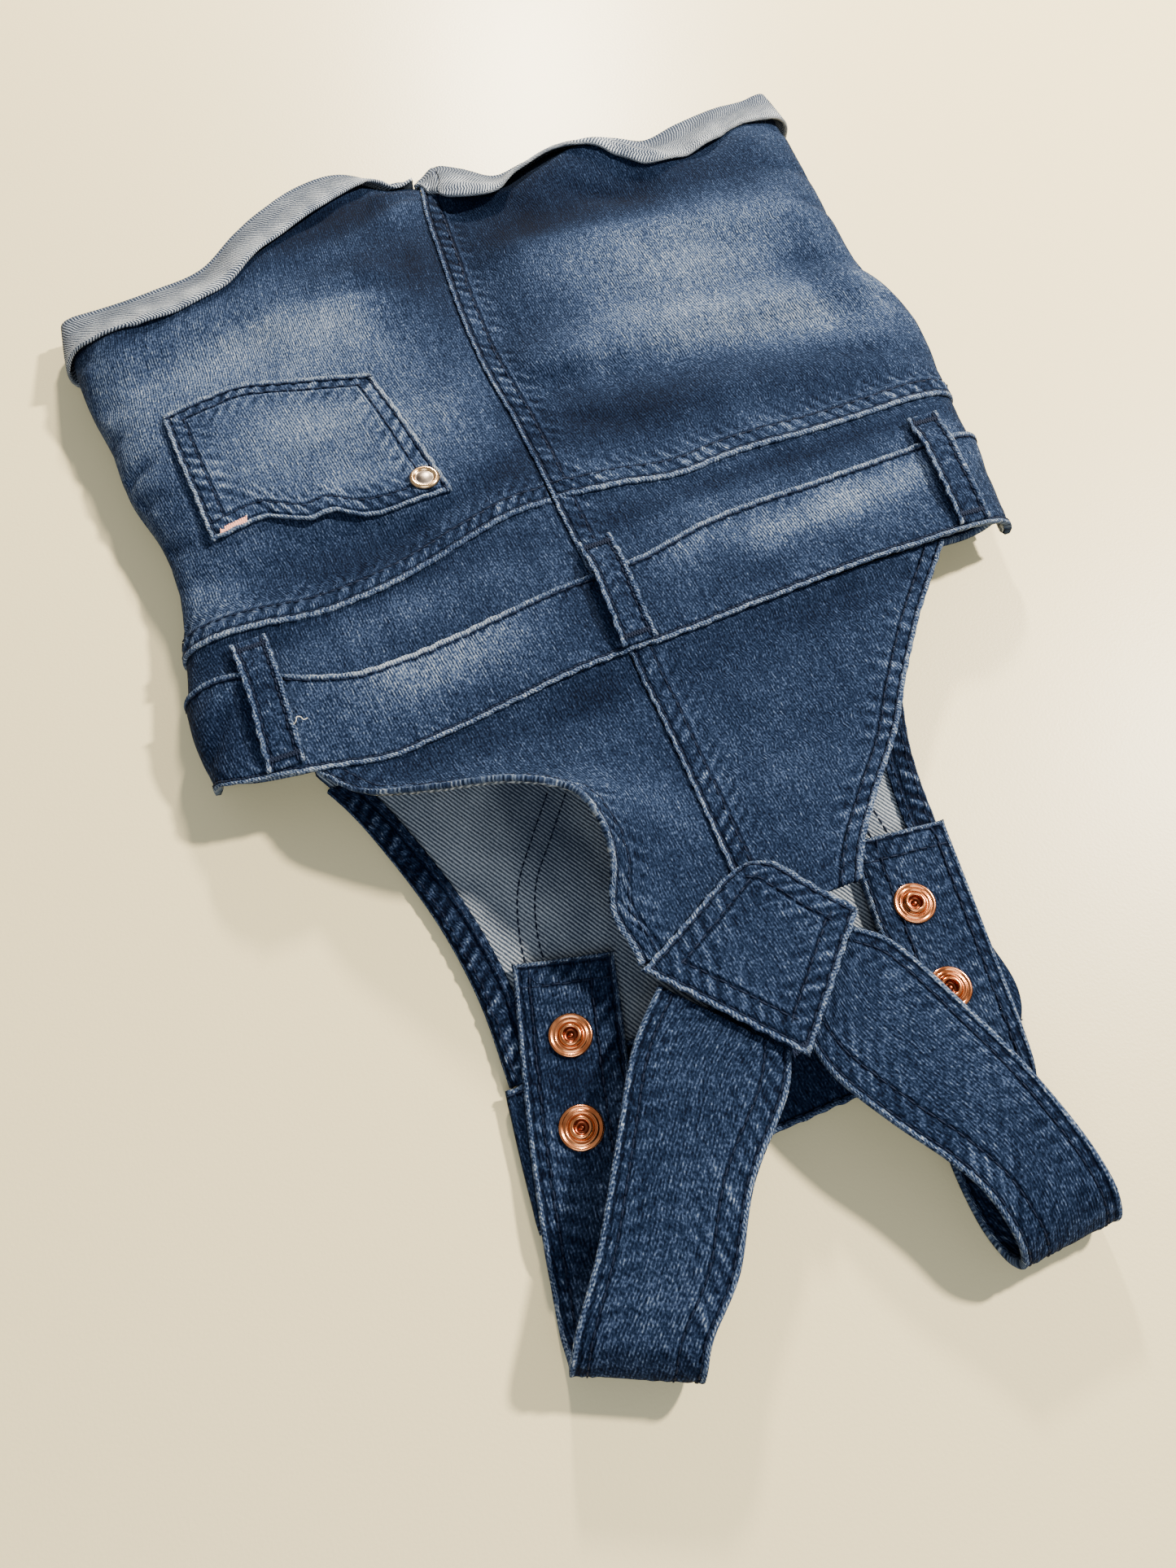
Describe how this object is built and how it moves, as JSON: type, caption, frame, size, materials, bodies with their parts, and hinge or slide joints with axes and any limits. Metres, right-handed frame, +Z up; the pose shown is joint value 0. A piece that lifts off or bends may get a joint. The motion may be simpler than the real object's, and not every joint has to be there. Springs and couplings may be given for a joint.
{
  "type": "overalls",
  "caption": "Toddler's blue denim dungaree shorts, laid face down, with turned-up legs and shoulder straps that snap to the inside of the bib.",
  "frame": {"origin": "on the table, under the middle of the garment's bounding box", "axes": "+X towards the wearer's left side, +Y from the shoulder straps towards the turned-up legs, +Z up, away from the table; the garment lies face down"},
  "size_m": [0.288, 0.4234, 0.0363],
  "materials": {
    "denim": "matt twill",
    "denim_worn": "matt twill, worn paler",
    "denim_reverse": "matt grey reverse of the twill",
    "copper": "polished"
  },
  "bodies": {
    "root": {"back_right": "denim", "back_left": "denim", "yoke_right": "denim", "yoke_left": "denim", "front_right": "denim", "front_left": "denim", "waistband_back": "denim", "waistband_front": "denim", "bib_back_right": "denim", "bib_back_left": "denim", "strap_right": "denim", "strap_left": "denim", "bib_hem_right": "denim", "bib_hem_left": "denim", "bib_top_band": "denim", "bib_pocket": "denim", "back_patch": "denim", "back_pocket": "denim_worn", "belt_loop_right": "denim_worn", "belt_loop_centre": "denim_worn", "belt_loop_left": "denim_worn", "cuff_right": "denim_reverse", "cuff_left": "denim_reverse", "bib_front": "denim_reverse", "pocket_rivet": "copper", "snap_right_end": "copper", "snap_right_inner": "copper", "snap_left_end": "copper", "snap_left_inner": "copper"}
  },
  "joints": []
}
